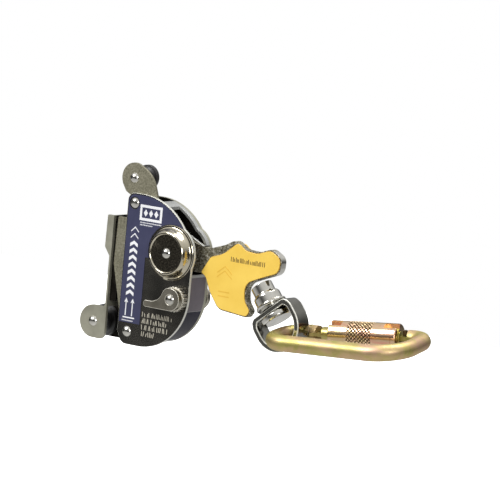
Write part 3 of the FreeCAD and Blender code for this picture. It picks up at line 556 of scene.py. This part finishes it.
def make_sleeve():
    """Lock sleeve: knurled middle, a groove near its far end, and a slot cut in at each end."""
    start, end, outer, bore = sleeve_span()
    length = end - start
    knurl_from, knurl_to = 0.28, 0.64
    knurl_start, knurl_end = start + knurl_from * length, start + knurl_to * length
    pitch, depth, steps = 2.5, 0.6, 360
    groove_share, groove_slope = 0.62, 2.2
    edge_r = 0.9
    ring_from_end, ring_half, ring_depth = 3.2, 0.35, 0.35
    slot_turn, slot_half_deg = 108.0, 17.0
    slot_first, slot_last, slot_wall = 8.5, 9.0, 1.0
    fine_step, coarse_step = 0.16, 0.35
    fine_first, fine_last, fine_lead = 1.0, 9.4, 0.3
    groove_r = (outer - 0.25) * MM
    starts = round(2 * math.pi * outer / pitch)

    def surface(s, turn):
        radius = outer
        if knurl_start < s < knurl_end:
            lead = (s - knurl_start) / pitch * 2 * math.pi
            one = abs(math.sin((starts * turn + lead) / 2))
            other = abs(math.sin((starts * turn - lead) / 2))
            cut = groove_slope * (groove_share - min(one, other))
            radius -= depth * min(1.0, max(0.0, cut))
        edge = min(s - start, end - s)
        if edge < edge_r:
            radius -= edge_r - math.sqrt(max(0.0, edge_r**2 - (edge_r - edge) ** 2))
        if abs(end - s - ring_from_end) < ring_half:
            radius -= ring_depth
        near_end = s < start + slot_first or s > end - slot_last
        if near_end and abs(math.degrees(turn) - slot_turn) < slot_half_deg:
            radius = min(radius, bore + slot_wall)
        return radius

    stations = []
    s = start
    while s < end:
        stations.append(s)
        in_knurl = knurl_start - fine_lead < s < knurl_end
        fine = in_knurl or s < start + fine_first or s > end - fine_last
        s += fine_step if fine else coarse_step
    stations.append(end)
    bm = bmesh.new()
    to_world = gate_frame()

    def ring(s, radius_at):
        made = []
        for i in range(steps):
            turn = 2 * math.pi * i / steps
            r = radius_at(s, turn)
            local = Vector((s, r * math.cos(turn), r * math.sin(turn))) * MM
            made.append(bm.verts.new(to_world @ local))
        return made

    rings = [ring(s, surface) for s in stations]
    rings.append(ring(end, lambda s, turn: bore))
    rings.append(ring(start, lambda s, turn: bore))
    for lower, upper in zip(rings, rings[1:] + rings[:1]):
        for i in range(steps):
            j = (i + 1) % steps
            bm.faces.new((lower[i], lower[j], upper[j], upper[i]))
    bmesh.ops.recalc_face_normals(bm, faces=bm.faces)
    to_local = to_world.inverted()
    for face in bm.faces:
        local = to_local @ face.calc_center_median()
        in_knurl = knurl_start * MM < local.x < knurl_end * MM
        radius = math.hypot(local.y, local.z)
        # Of the slot floors, the near one gets painted shade and the far one the yellow tab.
        slot_floor = not in_knurl and abs(radius - (bore + slot_wall) * MM) < 0.2 * MM
        # Faces in the knurl's grooves get painted shade.
        groove = in_knurl and radius < groove_r
        if slot_floor:
            face.material_index = 3 if local.x > knurl_end * MM else 2
        else:
            face.material_index = 1 if groove else 0
    piece = new_object("lock_sleeve_skin", bm)
    looks = ("sleeve_gold", "groove_shade_and_pin_dark", "inner_painted_shade", "tab_yellow")
    settle(piece, "lock_sleeve", "sleeve_gold", *looks)
    piece.data.set_sharp_from_angle(angle=math.radians(SLEEVE_CREASE_DEG))
    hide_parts("lock_sleeve")


def make_carabiner():
    refined("carabiner_frame", 0.3, "zinc_gold")
    refined("carabiner_gate", 0.3, "olive_gold")
    make_sleeve()


# ---------------------------------------------------------------- pieces inside the sleeve
def make_inner():
    finishes = {
        "pivot_spacers": "bronze",
        "handle_bush": "bronze",
        "brake_shoe": "cast_steel",
        "shoe_pin": "bright_steel",
        "lock_dog": "cast_steel",
        "inversion_pawl": "cast_steel",
        "pawl_pin": "bright_steel",
        "gate_spring": "spring_steel",
        "handle_spring": "spring_steel",
        "lever_spring": "spring_steel",
        "sleeve_spring": "spring_steel",
    }
    for node, material in finishes.items():
        for material_slot in frame["nodes"][node].material_slots:
            material_slot.material = LOOKS[material]


# ---------------------------------------------------------------- studio
def make_floor():
    drop = 0.16
    size = 1.2
    height = cad_box[0].z - drop
    bm = bmesh.new()
    corners = [(-size, -size), (size, -size), (size, size), (-size, size)]
    bm.faces.new([bm.verts.new((x, y, height)) for x, y in corners])
    floor = new_object("floor", bm)
    look = Look("floor_paper", Roughness=0.9, Emission_Strength=1.0)
    look.shader.inputs["Emission Color"].default_value = (1, 1, 1, 1)
    tone = look.noise(0.8, 2.0)
    dim, pale = (0.3, (0.93, 0.93, 0.93, 1)), (0.7, (0.95, 0.95, 0.95, 1))
    look.wire("Base Color", look.ramp(tone, dim, pale))
    floor.data.materials.append(look.material)
    floor.visible_glossy = False
    floor.visible_diffuse = False


def make_card(name, centre, facing, width, height):
    """A dark card out of view, which gives bright metal something dark to mirror."""
    bm = bmesh.new()
    normal = (Vector(facing) - Vector(centre)).normalized()
    side = normal.cross(Vector((0, 0, 1))).normalized()
    up = side.cross(normal)
    corners = []
    for a, b in ((-1, -1), (1, -1), (1, 1), (-1, 1)):
        corners.append(bm.verts.new(Vector(centre) + side * a * width / 2 + up * b * height / 2))
    bm.faces.new(corners)
    card = new_object(name, bm)
    look = Look(name + "_cloth", Roughness=0.95)
    tone = look.noise(6.0, 2.0)
    black, soot = (0.3, (0.012, 0.012, 0.012, 1)), (0.7, (0.02, 0.02, 0.02, 1))
    look.wire("Base Color", look.ramp(tone, black, soot))
    card.data.materials.append(look.material)
    card.visible_camera = False
    card.visible_shadow = False
    card.visible_diffuse = False


def make_light(name, centre, target, size, power):
    lamp = bpy.data.lights.new(name, "AREA")
    lamp.shape = "DISK"
    lamp.size = size
    lamp.energy = power
    holder = bpy.data.objects.new(name, lamp)
    holder.location = centre
    holder.rotation_euler = (Vector(target) - Vector(centre)).to_track_quat("-Z", "Y").to_euler()
    bpy.context.scene.collection.objects.link(holder)


def make_world():
    """Soft white room: bright above, with a darker band at eye level for the metal to mirror."""
    world = bpy.data.worlds.new("studio")
    world.use_nodes = True
    nodes, links = world.node_tree.nodes, world.node_tree.links
    room = nodes["Background"]
    coordinate = nodes.new("ShaderNodeTexCoord")
    split = nodes.new("ShaderNodeSeparateXYZ")
    ramp = nodes.new("ShaderNodeValToRGB")
    stops = ((0.0, 0.75), (0.34, 0.55), (0.5, 0.08), (0.6, 0.2), (0.76, 0.7), (1.0, 0.9))
    while len(ramp.color_ramp.elements) < len(stops):
        ramp.color_ramp.elements.new(0.5)
    for element, (position, value) in zip(ramp.color_ramp.elements, stops):
        element.position = position
        element.color = (value, value, value, 1)
    height = nodes.new("ShaderNodeMapRange")
    height.inputs["From Min"].default_value = -1.0
    paper = nodes.new("ShaderNodeBackground")
    paper.inputs["Color"].default_value = (1, 1, 1, 1)
    path = nodes.new("ShaderNodeLightPath")
    mix = nodes.new("ShaderNodeMixShader")
    links.new(coordinate.outputs["Generated"], split.inputs[0])
    links.new(split.outputs["Z"], height.inputs["Value"])
    links.new(height.outputs["Result"], ramp.inputs["Fac"])
    links.new(ramp.outputs["Color"], room.inputs["Color"])
    links.new(path.outputs["Is Camera Ray"], mix.inputs[0])
    links.new(room.outputs[0], mix.inputs[1])
    links.new(paper.outputs[0], mix.inputs[2])
    links.new(mix.outputs[0], nodes["World Output"].inputs["Surface"])
    bpy.context.scene.world = world


def make_studio():
    centre = (cad_box[0] + cad_box[1]) / 2
    make_floor()
    make_world()
    make_light("key", centre + Vector((-0.8, -1.3, 1.2)), centre, 0.9, 28.0)
    make_light("fill", centre + Vector((1.5, -1.2, 0.5)), centre, 0.7, 11.0)
    make_light("top", centre + Vector((0.2, 0.4, 1.6)), centre, 1.1, 15.0)
    make_card("card_front", centre + Vector((0.35, -1.3, 0.02)), centre, 0.8, 0.55)
    make_card("card_right", centre + Vector((1.2, -0.25, -0.1)), centre, 0.6, 0.6)
    make_card("card_left", centre + Vector((-1.1, -0.3, 0.05)), centre, 0.5, 0.7)


def make_camera():
    """Long lens from the front right, a little above, held with a slight lean."""
    azimuth, elevation, lean = (math.radians(v) for v in (35.0, 7.0, 5.2))
    distance = 2.2
    aim_from_pivot = Vector((42.34, 19.66, 6.71)) * MM
    right = Vector((math.cos(azimuth), math.sin(azimuth), 0))
    back = Vector(
        (
            math.sin(azimuth) * math.cos(elevation),
            -math.cos(azimuth) * math.cos(elevation),
            math.sin(elevation),
        )
    )
    up = back.cross(right)
    side = right * math.cos(lean) + up * math.sin(lean)
    top = up * math.cos(lean) - right * math.sin(lean)
    camera = bpy.data.objects.new("camera", bpy.data.cameras.new("camera"))
    camera.data.sensor_width = 36.0
    camera.data.lens = 237.6
    turn = Matrix((side, top, back)).transposed().to_4x4()
    aim = Vector((PIVOT.x, 0, 0)) + aim_from_pivot
    camera.matrix_world = Matrix.Translation(aim + back * distance) @ turn
    bpy.context.scene.collection.objects.link(camera)
    bpy.context.scene.camera = camera


make_materials()
make_camera()
make_plates()
make_label_marks()
make_etched_rows()
make_dome()
make_fixings()
make_levers()
make_handle()
make_swivel()
make_carabiner()
make_inner()
make_studio()
bpy.context.scene.view_settings.view_transform = "Standard"
